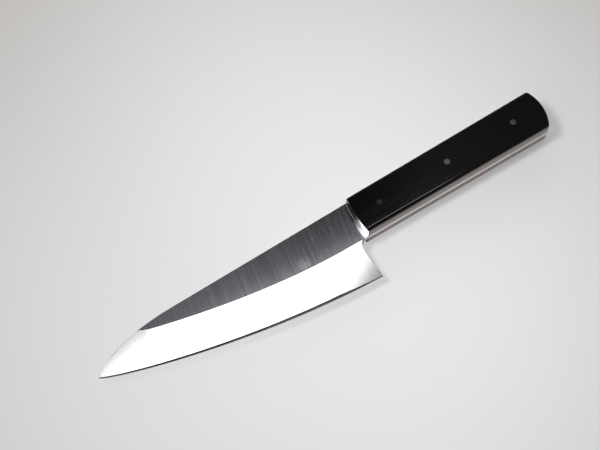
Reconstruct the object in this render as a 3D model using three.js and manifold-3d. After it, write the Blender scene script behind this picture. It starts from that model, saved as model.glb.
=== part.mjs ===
// Gyuto kitchen knife: a full-tang steel blade between two black scales, held by three steel pins.
// Millimetres. +X runs from the tip to the butt, +Y from the edge to the spine, +Z is up.
// The knife lies on its right scale, as it does on a table, so the left scale is on top.
// Drawing datums: x = 0 at the front end of the handle, y = 0 on the line of the pins.

import * as THREE from 'three';
import { mergeVertices } from 'three/addons/utils/BufferGeometryUtils.js';
import Module from 'manifold-3d';

const wasm = await Module();
wasm.setup();

// Steel: one piece of bar stock for blade and tang
const stockThickness = 2.8;
const tipThickness = 1.5;
const bladeLength = 149;
const bladeHeight = 42.5;
const spineAbovePins = 10.7;

// Spine: straight, then one long fall to the tip.
// A reach is how far a curve's control point lies from the end that it steers.
const tipBelowPins = 1.3;
const fallLength = 48.4;
const fallReach = 24.5;
const noseReach = 11.5;
const noseAngle = 38.5;

// Cutting edge: flat at the heel, with a sweep that rises to the tip
const heelReach = 66.5;
const heelAngle = 2.7;
const sweepReach = 8.9;
const sweepAngle = 37;

// Grind: a wide flat bevel on each side, which flares at the heel. Its ridge turns up to the spine where it
// runs out. Places along the edge are shares of the curve, from 0 at the heel to 1 at the tip.
const bevelWidthAtHeel = 21.4;
const bevelWidthAtTip = 19;
const bevelFlarePower = 4;
const runOutRise = 0.9;
const runOutStart = 0.65;
const runOutEnd = 0.7;

// Sharpened edge: a narrow bevel that starts thin at the heel, soon is widest and thins again to the tip
const edgeBevelAtHeel = 0.3;
const edgeBevelWidest = 1.6;
const edgeBevelWidestPlace = 0.12;
const edgeBevelAtTip = 0.75;
const edgeBevelAngle = 13;

// Choil: the rounded corner between the handle and the square back of the heel
const choilRadius = 5.6;

// Handle
const handleLength = 117;
const handleWidthAtFront = 21.2;
const handleWidthAtButt = 23;
const scaleThickness = 5.8;
const edgeRounding = 2;
const frontRadius = 55;
const frontApexBelowPins = 2;
const frontRounding = 0.2;
const frontFaceCornerRadius = 0.1;
const buttRadius = 23;
const buttApexAbovePins = 1.4;
const buttRounding = 0.7;
const buttFaceCornerRadius = 0.7;

// Pins
const pinDiameter = 3.2;
const frontPinSetback = 14;
const rearPinSetback = 19;

// Fits
const bondLine = 0.1;
const pinClearance = 0.05;

// Facets. Points nearer than the weld distance are one point, and facets thinner than a sliver are merged.
const weldDistance = 1e-4;
const sliverWidth = 0.004;
const arcDivisions = 5;
const roundingSteps = 5;
const pinSides = 32;
const edgeStations = 60;
const curveDivisions = 32;

const degrees = Math.PI / 180;
const handleHalfThickness = stockThickness / 2 + bondLine + scaleThickness;
const heelDepth = bladeHeight - spineAbovePins;
const tip = new THREE.Vector2(-bladeLength, -tipBelowPins);

// Belly side of the handle: a straight line from the front end to the butt
const bellyFront = new THREE.Vector2(0, spineAbovePins - handleWidthAtFront);
const bellyButt = new THREE.Vector2(handleLength, spineAbovePins - handleWidthAtButt);
const bellyAlong = bellyButt.clone().sub(bellyFront).normalize();
const bellyInward = new THREE.Vector2(-bellyAlong.y, bellyAlong.x);

// Both ends of the handle: side +1 lies towards the butt, -1 towards the blade
const buttEnd = {
  side: 1,
  centre: new THREE.Vector2(handleLength - buttRadius, buttApexAbovePins),
  radius: buttRadius,
  rounding: buttRounding,
  faceCornerRadius: buttFaceCornerRadius,
  cornerRounding: edgeRounding,
};
const frontEnd = {
  side: -1,
  centre: new THREE.Vector2(frontRadius, -frontApexBelowPins),
  radius: frontRadius,
  rounding: frontRounding,
  faceCornerRadius: frontFaceCornerRadius,
  cornerRounding: frontRounding,
};

// The handle's front lower corner, where the choil springs from
const handleCorner = lineMeetsCircle(bellyFront, bellyAlong, frontEnd.centre, frontRadius, -1);
const choilTop = new THREE.Vector2(handleCorner.x - choilRadius, handleCorner.y - choilRadius);
const heel = new THREE.Vector2(choilTop.x, -heelDepth);

const pinPitch = (handleLength - frontPinSetback - rearPinSetback) / 2;
const pinNames = ['front_pin', 'middle_pin', 'rear_pin'];
const pinPlaces = pinNames.map((name, index) => frontPinSetback + index * pinPitch);

// Point where a line meets a circle: side +1 takes the far crossing, -1 the near one
function lineMeetsCircle(point, along, centre, radius, side) {
  const offset = point.clone().sub(centre);
  const run = offset.dot(along);
  const reach = Math.sqrt(run * run - offset.lengthSq() + radius * radius);
  return point.clone().addScaledVector(along, side * reach - run);
}

function angleFrom(centre, point) {
  return Math.atan2(point.y - centre.y, point.x - centre.x);
}

function arcBetween(path, centre, radius, from, to) {
  path.absarc(centre.x, centre.y, radius, angleFrom(centre, from), angleFrom(centre, to), false);
}

// Unit vector at an angle from +X towards +Y
function direction(angle) {
  return new THREE.Vector2(Math.cos(angle * degrees), Math.sin(angle * degrees));
}

// A corner fillet that touches a straight side and an end arc from inside: its centre and its two ends
function cornerFillet(sidePoint, along, inward, end, radius, cornerRadius) {
  const lifted = sidePoint.clone().addScaledVector(inward, cornerRadius);
  const centre = lineMeetsCircle(lifted, along, end.centre, radius - cornerRadius, end.side);
  const onSide = centre.clone().sub(inward);
  const onEnd = centre.clone().multiplyScalar(2).sub(end.centre);
  return { centre, onSide, onEnd };
}

// Adds an end of the handle, anticlockwise: a crowned end between two round corners.
// The roundings pull the outline in, by a share that is 0 at the tang and 1 at the outer face.
function addEnd(path, end, share) {
  const inset = edgeRounding * share;
  const radius = end.radius - end.rounding * share;
  const cornerRadius = end.faceCornerRadius + end.cornerRounding * (1 - share);
  const belly = bellyFront.clone().addScaledVector(bellyInward, inset);
  const spine = new THREE.Vector2(0, spineAbovePins - inset);
  const lower = cornerFillet(belly, bellyAlong, bellyInward, end, radius, cornerRadius);
  const upper = cornerFillet(spine, direction(0), direction(-90), end, radius, cornerRadius);
  const [first, second] = end.side > 0 ? [lower, upper] : [upper, lower];
  arcBetween(path, first.centre, cornerRadius, first.onSide, first.onEnd);
  arcBetween(path, end.centre, radius, first.centre, second.centre);
  arcBetween(path, second.centre, cornerRadius, second.onEnd, second.onSide);
}

// Outline of a scale, pulled in by a share of its roundings
function handleOutline(share) {
  const shape = new THREE.Shape();
  addEnd(shape, buttEnd, share);
  addEnd(shape, frontEnd, share);
  return distinctPoints(shape.getPoints(arcDivisions));
}

// Drops points that repeat the one before, and the last one where it repeats the first
function distinctPoints(points) {
  return points.filter((point, index) => {
    const before = points[(index + points.length - 1) % points.length];
    return point.distanceTo(before) > weldDistance;
  });
}

// Closed solid through a row of convex rings with equal counts of points
function loft(rings) {
  const count = rings[0].length;
  const positions = rings.flat().flatMap((point) => [point.x, point.y, point.z]);
  const last = (rings.length - 1) * count;
  const index = [];
  for (let ring = 0; ring < rings.length - 1; ring += 1) {
    for (let step = 0; step < count; step += 1) {
      const next = (step + 1) % count;
      const near = ring * count;
      const far = near + count;
      index.push(near + step, near + next, far + next);
      index.push(near + step, far + next, far + step);
    }
  }
  for (let step = 1; step < count - 1; step += 1) {
    index.push(0, step + 1, step);
    index.push(last, last + step, last + step + 1);
  }
  const geometry = new THREE.BufferGeometry();
  geometry.setAttribute('position', new THREE.Float32BufferAttribute(positions, 3));
  geometry.setIndex(index);
  return geometry;
}

function solidFrom(geometry) {
  const bare = geometry.clone();
  bare.deleteAttribute('normal');
  bare.deleteAttribute('uv');
  const merged = mergeVertices(bare, weldDistance);
  const mesh = new wasm.Mesh({
    numProp: 3,
    vertProperties: new Float32Array(merged.attributes.position.array),
    triVerts: new Uint32Array(merged.index.array),
  });
  return new wasm.Manifold(mesh);
}

function geometryFrom(solid) {
  const mesh = solid.getMesh();
  const geometry = new THREE.BufferGeometry();
  geometry.setAttribute('position', new THREE.BufferAttribute(mesh.vertProperties, 3));
  geometry.setIndex(new THREE.BufferAttribute(mesh.triVerts, 1));
  geometry.computeVertexNormals();
  return geometry;
}

function pinGeometry(diameter, length) {
  const geometry = new THREE.CylinderGeometry(diameter / 2, diameter / 2, length, pinSides);
  return geometry.rotateX(Math.PI / 2);
}

// Drills the three pin holes, a clearance wider than the pins, right through a solid
function drilled(solid) {
  const drillLength = 3 * handleHalfThickness;
  return pinPlaces.reduce((rest, place) => {
    const drill = pinGeometry(pinDiameter + 2 * pinClearance, drillLength);
    return rest.subtract(solidFrom(drill.translate(place, 0, 0)));
  }, solid);
}

// Flat outline of blade and tang. Below the edge it runs wide, because the grind makes the edge itself.
function bladeOutline() {
  const clear = bladeHeight;
  const fallStart = new THREE.Vector2(tip.x + fallLength, spineAbovePins);
  const fallControl = new THREE.Vector2(fallStart.x - fallReach, spineAbovePins);
  const noseControl = tip.clone().addScaledVector(direction(noseAngle), noseReach);
  const beyondTip = tip.clone().sub(noseControl).add(tip);
  const shape = new THREE.Shape();
  shape.moveTo(handleCorner.x, handleCorner.y);
  addEnd(shape, buttEnd, 0);
  shape.lineTo(fallStart.x, fallStart.y);
  shape.bezierCurveTo(fallControl.x, fallControl.y, noseControl.x, noseControl.y, tip.x, tip.y);
  shape.lineTo(beyondTip.x, beyondTip.y);
  shape.lineTo(beyondTip.x, heel.y - clear);
  shape.lineTo(heel.x, heel.y - clear);
  shape.lineTo(choilTop.x, choilTop.y);
  shape.absarc(handleCorner.x, choilTop.y, choilRadius, Math.PI, Math.PI / 2, true);
  return shape;
}

// Line of the cutting edge, from the heel to the tip
function edgeCurve() {
  return new THREE.CubicBezierCurve(
    heel,
    heel.clone().addScaledVector(direction(180 - heelAngle), heelReach),
    tip.clone().addScaledVector(direction(-sweepAngle), sweepReach),
    tip,
  );
}

// Width of the wide bevel at a place along the edge
function bevelWidth(share) {
  const flare = THREE.MathUtils.lerp(bevelWidthAtTip, bevelWidthAtHeel, (1 - share) ** bevelFlarePower);
  return flare + runOutRise * THREE.MathUtils.smoothstep(share, runOutStart, runOutEnd);
}

// Width of the narrow bevel at a place along the edge
function edgeBevelWidth(share) {
  const growth = share / edgeBevelWidestPlace;
  if (growth < 1) return THREE.MathUtils.lerp(edgeBevelAtHeel, edgeBevelWidest, growth);
  const thinning = (share - edgeBevelWidestPlace) / (1 - edgeBevelWidestPlace);
  return THREE.MathUtils.lerp(edgeBevelWidest, edgeBevelAtTip, thinning);
}

// Half the steel's thickness on its flats: full at the handle, thinner in a straight taper to the tip
function flatHalfThickness(x) {
  const share = Math.max(0, -x) / bladeLength;
  return THREE.MathUtils.lerp(stockThickness, tipThickness, share) / 2;
}

// One cross-section of the ground steel, from the flat of one side round the edge to the other flat.
// The bevels are square to the edge: the narrow one rises from it, and the wide one ends on the flat.
function grindRing(edge, inward, share) {
  const aboveSpine = 2 * bladeHeight;
  const shoulderHeight = edgeBevelWidth(share) * Math.tan(edgeBevelAngle * degrees);
  const shoulder = edge.clone().addScaledVector(inward, edgeBevelWidth(share));
  const ridge = edge.clone().addScaledVector(inward, bevelWidth(share));
  const flat = flatHalfThickness(ridge.x);
  const side = (sign) => [
    new THREE.Vector3(ridge.x, aboveSpine, sign * flat),
    new THREE.Vector3(ridge.x, ridge.y, sign * flat),
    new THREE.Vector3(shoulder.x, shoulder.y, sign * shoulderHeight),
  ];
  return [...side(1).reverse(), ...side(-1), new THREE.Vector3(edge.x, edge.y, 0)];
}

// One cross-section of the tang, which keeps the full thickness of the stock
function tangRing(x) {
  const half = stockThickness / 2;
  const reach = 2 * bladeHeight;
  const levels = [-reach / 2, 0, reach];
  const front = levels.map((y) => new THREE.Vector3(x, y, half));
  const back = levels.map((y) => new THREE.Vector3(x, y, -half)).reverse();
  return [...front, ...back, new THREE.Vector3(x, -reach, 0)];
}

// The steel's thickness everywhere: bevels along the blade, full stock along the tang.
// Behind the heel the grind runs straight on, until its ridge comes to the front of the handle.
function grindSolid() {
  const curve = edgeCurve();
  const beyond = bladeHeight / 2;
  const rings = [];
  for (let station = 0; station <= edgeStations; station += 1) {
    const share = station / edgeStations;
    const along = curve.getTangent(share);
    const inward = new THREE.Vector2(along.y, -along.x);
    const edge = curve.getPoint(share);
    if (station === 0) {
      const ridgeSetback = inward.x * bevelWidth(share);
      const behindHeel = edge.clone().addScaledVector(along, (heel.x + ridgeSetback) / -along.x);
      rings.push(grindRing(behindHeel, inward, share));
    }
    rings.push(grindRing(edge, inward, share));
    if (station === edgeStations) {
      rings.push(grindRing(edge.clone().addScaledVector(along, beyond), inward, share));
    }
  }
  rings.unshift(tangRing(handleLength + beyond), tangRing(handleCorner.x));
  return solidFrom(loft(rings));
}

function bladeGeometry() {
  const depth = 2 * stockThickness;
  const blank = new THREE.ExtrudeGeometry(bladeOutline(), {
    depth,
    bevelEnabled: false,
    curveSegments: curveDivisions,
  });
  blank.translate(0, 0, -depth / 2);
  const ground = solidFrom(blank).intersect(grindSolid());
  return geometryFrom(drilled(ground).asOriginal().simplify(sliverWidth));
}

// A scale on one side of the tang: +1 above, -1 below. Its outer edges are rounded over.
function scaleGeometry(side) {
  const inner = stockThickness / 2 + bondLine;
  const ringAt = (height, share) => {
    const ring = handleOutline(share).map((point) => new THREE.Vector3(point.x, point.y, side * height));
    return side > 0 ? ring : ring.reverse();
  };
  const rings = [ringAt(inner, 0)];
  for (let step = 0; step <= roundingSteps; step += 1) {
    const turn = (step / roundingSteps) * (Math.PI / 2);
    const drop = edgeRounding * (1 - Math.sin(turn));
    rings.push(ringAt(handleHalfThickness - drop, 1 - Math.cos(turn)));
  }
  return geometryFrom(drilled(solidFrom(loft(rings))));
}

const groundSteel = () => new THREE.MeshStandardMaterial({ color: 0xa3a2a6, metalness: 1, roughness: 0.28 });
const pinSteel = () => new THREE.MeshStandardMaterial({ color: 0x8e8c89, metalness: 1, roughness: 0.35 });
const blackScale = () => new THREE.MeshStandardMaterial({ color: 0x141513, metalness: 0, roughness: 0.2 });

function piece(name, geometry, material) {
  const mesh = new THREE.Mesh(geometry, material);
  mesh.name = name;
  return mesh;
}

// All pieces share the middle plane of the blade
const knife = new THREE.Group();
knife.add(piece('blade', bladeGeometry(), groundSteel()));
knife.add(piece('left_scale', scaleGeometry(1), blackScale()));
knife.add(piece('right_scale', scaleGeometry(-1), blackScale()));
pinNames.forEach((name, index) => {
  const pin = piece(name, pinGeometry(pinDiameter, 2 * handleHalfThickness), pinSteel());
  pin.position.x = pinPlaces[index];
  knife.add(pin);
});

// Origin: on the table, under the middle of the knife's box
const middle = new THREE.Box3().setFromObject(knife).getCenter(new THREE.Vector3());
knife.position.set(-middle.x, -middle.y, handleHalfThickness);

const part = new THREE.Group();
part.add(knife);

export default part;
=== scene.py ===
"""Looks of a gyuto knife: ground blade, full tang, black scales and steel pins, dressed on their frame.

The knife lies on its right scale. It is drawn in millimetres on axes of its own: x runs from the front
end of the handle towards the butt, y from the line of pins towards the spine, and z upwards from the
middle plane of the blade. Each surface is worked out there as whole numpy arrays, and put into the
frame, in metres, when its mesh is made.
"""
import logging
from dataclasses import dataclass, field, replace
from enum import Enum, IntEnum
from math import cos, pi, radians, sin, tan
from typing import Any

import bpy
import numpy as np
from mathutils import Matrix, Vector


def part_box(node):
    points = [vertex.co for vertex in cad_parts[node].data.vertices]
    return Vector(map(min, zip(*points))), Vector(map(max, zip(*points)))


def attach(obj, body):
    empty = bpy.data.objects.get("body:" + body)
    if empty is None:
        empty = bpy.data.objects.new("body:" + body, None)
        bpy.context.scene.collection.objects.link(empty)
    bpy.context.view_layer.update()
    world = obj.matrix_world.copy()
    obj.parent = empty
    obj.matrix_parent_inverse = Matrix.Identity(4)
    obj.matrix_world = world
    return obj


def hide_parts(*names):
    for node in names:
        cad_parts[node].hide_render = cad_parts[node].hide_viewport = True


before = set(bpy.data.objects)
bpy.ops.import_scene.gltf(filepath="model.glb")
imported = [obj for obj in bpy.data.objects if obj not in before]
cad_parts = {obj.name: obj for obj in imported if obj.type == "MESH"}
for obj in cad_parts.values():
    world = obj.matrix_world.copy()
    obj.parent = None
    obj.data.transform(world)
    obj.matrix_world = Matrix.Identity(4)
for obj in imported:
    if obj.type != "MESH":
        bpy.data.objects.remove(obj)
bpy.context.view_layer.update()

log = logging.getLogger("gyuto")
MM = 0.001
WELD_MM = 1e-4
GRAIN_MAP = "grain"
GRAIN_LEAN = -12.0
BLACK = "#000000"
WHITE = "#ffffff"
MIRROR = np.array((1.0, 1.0, -1.0))
Array = np.ndarray
Colour = tuple[float, float, float, float]
Material = bpy.types.Material
Node = bpy.types.Node
Socket = bpy.types.NodeSocket
Tree = bpy.types.NodeTree


class Side(Enum):
    """The two sides of the blade, by the direction of their outer face."""

    LEFT = 1
    RIGHT = -1


class Patch(IntEnum):
    """Kinds of surface on a piece. Edges between kinds are crisp, but a sanded side runs on smoothly."""

    FLAT = 0
    BEVEL = 1
    EDGE = 2
    RIM = 3
    HOLE = 4
    SANDED = 5
    BEAD = 6


def linear(hex_colour: str) -> Colour:
    """Turns an sRGB hex colour into linear light.

    Args:
        hex_colour: Colour as "#rrggbb".

    Returns:
        Red, green, blue and alpha, each from 0 to 1.
    """
    coded = np.array([int(hex_colour[i:i + 2], 16) for i in (1, 3, 5)]) / 255.0
    light = np.where(coded <= 0.04045, coded / 12.92, ((coded + 0.055) / 1.055) ** 2.4)
    return (*light.tolist(), 1.0)


def mix(start: Array, end: Array, share: Array | float) -> Array:
    """Goes from start to end in a straight line, by share."""
    return start + (end - start) * share


def bezier(controls: list[Array], share: Array) -> Array:
    """Points of a Bezier curve: neighbouring control points are mixed by share until one is left.

    Args:
        controls: Control points, first to last.
        share: Places along the curve, from 0 to 1.

    Returns:
        One point for each share, as rows of x and y.
    """
    level = [np.outer(np.ones_like(share), control) for control in controls]
    while len(level) > 1:
        level = [mix(a, b, share[:, None]) for a, b in zip(level[:-1], level[1:])]
    return level[0]


def arc(centre: Array, start: Array, end: Array, count: int) -> Array:
    """Points on the short arc round a centre: the radius turns evenly from start to end.

    Args:
        centre: Centre of the circle.
        start: First point of the arc.
        end: Last point of the arc.
        count: Number of points.

    Returns:
        The points, as rows of x and y.
    """
    first = np.subtract(start, centre)
    last = np.subtract(end, centre)
    turn = np.arctan2(first[0] * last[1] - first[1] * last[0], first @ last)
    angle = np.arctan2(first[1], first[0]) + np.linspace(0.0, turn, count)
    points = np.asarray(centre) + np.hypot(*first) * np.column_stack((np.cos(angle), np.sin(angle)))
    points[0], points[-1] = start, end
    return points


def straight(start: Array, end: Array, count: int) -> Array:
    """Points evenly spaced on the straight line from start to end."""
    return mix(np.asarray(start), np.asarray(end), np.linspace(0.0, 1.0, count)[:, None])


def joined(*stretches: Array) -> Array:
    """Joins stretches of a line end to end, and leaves out each doubled end point."""
    return np.concatenate([stretches[0], *[stretch[1:] for stretch in stretches[1:]]])


def meeting(start: Array, along: Array, centre: Array, radius: float, far: bool) -> Array:
    """Where a line meets a circle: the distances along the line at which the radius is reached.

    Args:
        start: A point of the line.
        along: Unit direction of the line.
        centre: Centre of the circle.
        radius: Radius of the circle.
        far: True for the second crossing, False for the first.

    Returns:
        The crossing, as x and y.
    """
    away = start - centre
    back = away @ along
    reach = np.sqrt(back ** 2 - away @ away + radius ** 2)
    return start + along * (reach - back if far else -reach - back)


def lifted(plan: Array, height: Array | float) -> Array:
    """Gives each plan point its height, as a third number."""
    return np.concatenate((plan, np.broadcast_to(height, plan.shape[:-1])[..., None]), axis=-1)


def box_mm(node: str) -> tuple[Array, Array]:
    """Lowest and highest corner of a frame node, in millimetres."""
    low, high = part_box(node)
    return np.array(low) / MM, np.array(high) / MM


@dataclass
class Skin:
    """A closed surface gathered from grids of points that share their border points."""

    points: list[Array] = field(default_factory=list)
    quads: list[Array] = field(default_factory=list)
    kinds: list[Array] = field(default_factory=list)
    count: int = 0

    def add(self, grid: Array, kind: Patch, flip: bool = False) -> Array:
        """Adds a grid of points as quads that face along column direction crossed with row direction.

        Args:
            grid: Points as rows, columns and x, y, z.
            kind: Kind of surface.
            flip: Turns the faces to the other side.

        Returns:
            The number of each point, as rows and columns.
        """
        rows, columns = grid.shape[:2]
        number = self.count + np.arange(rows * columns).reshape(rows, columns)
        corners = [number[:-1, :-1], number[:-1, 1:], number[1:, 1:], number[1:, :-1]]
        quads = np.stack(corners[::-1] if flip else corners, axis=-1).reshape(-1, 4)
        self.points.append(grid.reshape(-1, 3))
        self.quads.append(quads)
        self.kinds.append(np.full(len(quads), int(kind)))
        self.count += rows * columns
        return number

    def add_both(self, sheet: Array, kind: Patch) -> None:
        """Adds a sheet on the left side of the blade and its mirror twin on the right side.

        Args:
            sheet: Points with columns towards the tip, or round a hole, and rows outwards.
            kind: Kind of surface.
        """
        self.add(sheet, kind, flip=True)
        self.add(sheet * MIRROR, kind)

    def welded(self, moved: list[tuple[Array, Array]]) -> tuple[Array, Array, Array]:
        """Merges points in the same place, splits the quads and drops triangles that shrank to a line.

        Args:
            moved: Point numbers with the places they take once the grids are merged.

        Returns:
            Points, triangles and the kind of each triangle.
        """
        points = np.concatenate(self.points)
        steps = np.round(points / WELD_MM).astype(np.int64)
        _, keep, merged = np.unique(steps, axis=0, return_index=True, return_inverse=True)
        merged = merged.reshape(-1)
        points = points[keep]
        for numbers, places in moved:
            points[merged[numbers]] = places
        quads = merged[np.concatenate(self.quads)]
        triangles = np.concatenate((quads[:, [0, 1, 2]], quads[:, [0, 2, 3]]))
        kinds = np.tile(np.concatenate(self.kinds), 2)
        first, second, third = triangles.T
        sound = (first != second) & (second != third) & (third != first)
        return points, triangles[sound], kinds[sound]


@dataclass(frozen=True)
class Outline:
    """A handle outline, anticlockwise: underside and spine, one stretch for each pin, and both ends."""

    belly: list[Array]
    butt: Array
    spine: list[Array]
    front: Array

    def loop(self) -> Array:
        """The whole outline from the front of the underside, with its first point again at the end."""
        return joined(*self.belly, self.butt, *self.spine, self.front)

    def cells(self, rows: int) -> list[Array]:
        """Divides the outline by lines halfway between the pins.

        Args:
            rows: Number of points on a dividing line.

        Returns:
            One closed boundary for each pin, anticlockwise, front to butt.
        """
        front_cut = straight(self.belly[0][-1], self.spine[1][-1], rows)
        rear_cut = straight(self.belly[1][-1], self.spine[0][-1], rows)
        return [
            joined(self.belly[0], front_cut, self.spine[2], self.front),
            joined(self.belly[1], rear_cut, self.spine[1], front_cut[::-1]),
            joined(self.belly[2], self.butt, self.spine[0], rear_cut[::-1]),
        ]


@dataclass(frozen=True)
class HandleEnd:
    """A crowned end of the handle: its circle, and how its outer edge and its corners are rounded."""

    to_butt: bool
    centre: Array
    radius: float
    rounding: float
    face_corner: float
    corner_rounding: float


@dataclass(frozen=True)
class Drawing:
    """What the pieces share: places read from the frame and the handle's outline, in millimetres."""

    front: float
    pin_line: float
    middle: float
    handle_length: float
    blade_length: float
    spine: float
    heel_depth: float
    stock: float
    inner_face: float
    outer_face: float
    pins: tuple[float, ...]
    pin_radius: float
    handle_width_at_front: float = 21.2
    handle_width_at_butt: float = 23.0
    edge_rounding: float = 2.0
    spine_rounding: float = 0.8
    front_radius: float = 55.0
    front_drop: float = 2.0
    front_rounding: float = 0.2
    front_face_corner: float = 0.1
    butt_radius: float = 23.0
    butt_rise: float = 1.4
    butt_rounding: float = 0.7
    butt_face_corner: float = 0.7
    least_corner: float = 0.05
    pin_clearance: float = 0.05
    side_points: int = 24
    corner_points: int = 9
    end_points: int = 33

    @classmethod
    def from_frame(cls) -> "Drawing":
        """Reads the drawing's datums and main sizes from the frame's nodes."""
        blade_low, blade_high = box_mm("blade")
        scale_low, scale_high = box_mm("left_scale")
        pin_boxes = [box_mm(node) for node in ("front_pin", "middle_pin", "rear_pin")]
        front = scale_low[0]
        pin_line = np.mean(pin_boxes[0], axis=0)[1]
        middle = (blade_low[2] + blade_high[2]) / 2
        return cls(
            front=front,
            pin_line=pin_line,
            middle=middle,
            handle_length=blade_high[0] - front,
            blade_length=front - blade_low[0],
            spine=blade_high[1] - pin_line,
            heel_depth=pin_line - blade_low[1],
            stock=blade_high[2] - blade_low[2],
            inner_face=scale_low[2] - middle,
            outer_face=scale_high[2] - middle,
            pins=tuple(np.mean(pair, axis=0)[0] - front for pair in pin_boxes),
            pin_radius=np.ptp(pin_boxes[0], axis=0)[0] / 2,
        )

    def in_frame(self, points: Array) -> Array:
        """Takes points from the drawing's axes to the frame, in metres."""
        return (points + (self.front, self.pin_line, self.middle)) * MM

    def belly_height(self, x: Array | float, inset: float = 0.0) -> Array | float:
        """Height of the handle's underside: a straight line, pulled in square to itself by inset.

        Args:
            x: Places along the handle.
            inset: Distance inside the outline.

        Returns:
            The y of each place.
        """
        start = self.spine - self.handle_width_at_front
        slope = (self.handle_width_at_front - self.handle_width_at_butt) / self.handle_length
        return start + slope * x + inset * np.hypot(1.0, slope)

    def side_point(self, x: float, top: bool, inset: float = 0.0) -> Array:
        """Point of the spine, or of the underside, at a place along the handle."""
        return np.array((x, self.spine - inset if top else self.belly_height(x, inset)))

    def cuts(self) -> list[float]:
        """Places halfway between the pins."""
        return [(a + b) / 2 for a, b in zip(self.pins[:-1], self.pins[1:])]

    @property
    def front_end(self) -> HandleEnd:
        """The handle's end towards the blade."""
        return HandleEnd(
            False, np.array((self.front_radius, -self.front_drop)), self.front_radius,
            self.front_rounding, self.front_face_corner, self.front_rounding,
        )

    @property
    def butt_end(self) -> HandleEnd:
        """The handle's end away from the blade."""
        return HandleEnd(
            True, np.array((self.handle_length - self.butt_radius, self.butt_rise)), self.butt_radius,
            self.butt_rounding, self.butt_face_corner, self.edge_rounding,
        )

    def side_line(self, top: bool, inset: float = 0.0) -> tuple[Array, Array]:
        """A point of the spine, or of the underside, and its unit direction towards the butt."""
        start = self.side_point(0.0, top, inset)
        along = self.side_point(1.0, top, inset) - start
        return start, along / np.hypot(*along)

    def corner(
        self, end: HandleEnd, top: bool, share: float, radius: float, fillet: float
    ) -> tuple[Array, Array, Array]:
        """A round corner between a long side and an end circle, touching both from inside.

        Its centre lies fillet inside the long side, and radius less fillet from the circle's centre.

        Args:
            end: End of the handle.
            top: True at the spine, False at the underside.
            share: How far the roundings pull the long side in.
            radius: Radius of the end circle.
            fillet: Radius of the corner.

        Returns:
            Corner centre, touching point on the long side and touching point on the end circle.
        """
        start, along = self.side_line(top, self.inset(top, share) + fillet)
        place = meeting(start, along, end.centre, radius - fillet, end.to_butt)
        outwards = np.array((-along[1], along[0])) * (1.0 if top else -1.0)
        spoke = (place - end.centre) / np.hypot(*(place - end.centre))
        return place, place + outwards * fillet, end.centre + spoke * radius

    def inset(self, top: bool, share: float) -> float:
        """How far the outer edge is pulled in: a quarter round, tighter at the spine than below.

        Both rounds end at the outer face, so the spine's begins where the face is its radius above.

        Args:
            top: True at the spine, False at the underside.
            share: Inset at the underside as a share of its radius; past 1 it lies on the outer face.

        Returns:
            The inset.
        """
        if not top:
            return self.edge_rounding * share
        bend = min(share, 1.0)
        below = self.edge_rounding * (1.0 - np.sqrt(1.0 - (1.0 - bend) ** 2))
        rise = max(0.0, 1.0 - below / self.spine_rounding)
        round_inset = self.spine_rounding * (1.0 - np.sqrt(1.0 - rise ** 2))
        return round_inset + self.edge_rounding * (share - bend)

    def end_line(self, end: HandleEnd, share: float) -> Array:
        """An end of an outline, anticlockwise: a crowned end between two round corners.

        Args:
            end: End of the handle.
            share: How far the roundings pull it in: 0 at the tang, and 1 where the outer face begins.

        Returns:
            The end's points, from one long side to the other.
        """
        radius = end.radius - end.rounding * share
        fillet = max(end.face_corner + end.corner_rounding * (1.0 - share), self.least_corner)
        first, side_start, end_start = self.corner(end, not end.to_butt, share, radius, fillet)
        last, side_stop, end_stop = self.corner(end, end.to_butt, share, radius, fillet)
        return joined(
            arc(first, side_start, end_start, self.corner_points),
            arc(end.centre, end_start, end_stop, self.end_points),
            arc(last, end_stop, side_stop, self.corner_points),
        )

    def outline(self, front: Array, share: float) -> Outline:
        """A whole outline from its front line: butt end, and long sides in one stretch for each pin.

        Args:
            front: Front line, from spine to underside.
            share: How far the roundings pull the outline in, from 0 at the tang to 1 at the outer face.

        Returns:
            The outline.
        """
        under, over = self.inset(False, share), self.inset(True, share)
        butt = self.end_line(self.butt_end, share)
        low = [front[-1], *[self.side_point(x, False, under) for x in self.cuts()], butt[0]]
        top = [butt[-1], *[self.side_point(x, True, over) for x in self.cuts()[::-1]], front[0]]
        belly, spine = (
            [straight(a, b, self.side_points) for a, b in zip(line[:-1], line[1:])]
            for line in (low, top)
        )
        return Outline(belly, butt, spine, front)

    def scale_outline(self, share: float) -> Outline:
        """Outline of a scale, pulled in by a share of its roundings."""
        return self.outline(self.end_line(self.front_end, share), share)

    def hole(self, pin: int, boundary: Array) -> Array:
        """Points of a pin hole: each lies on the line from the hole's centre to a boundary point."""
        centre = np.array((self.pins[pin], 0.0))
        spoke = boundary - centre
        reach = self.pin_radius + self.pin_clearance
        return centre + reach * spoke / np.hypot(spoke[:, 0], spoke[:, 1])[:, None]


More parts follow.
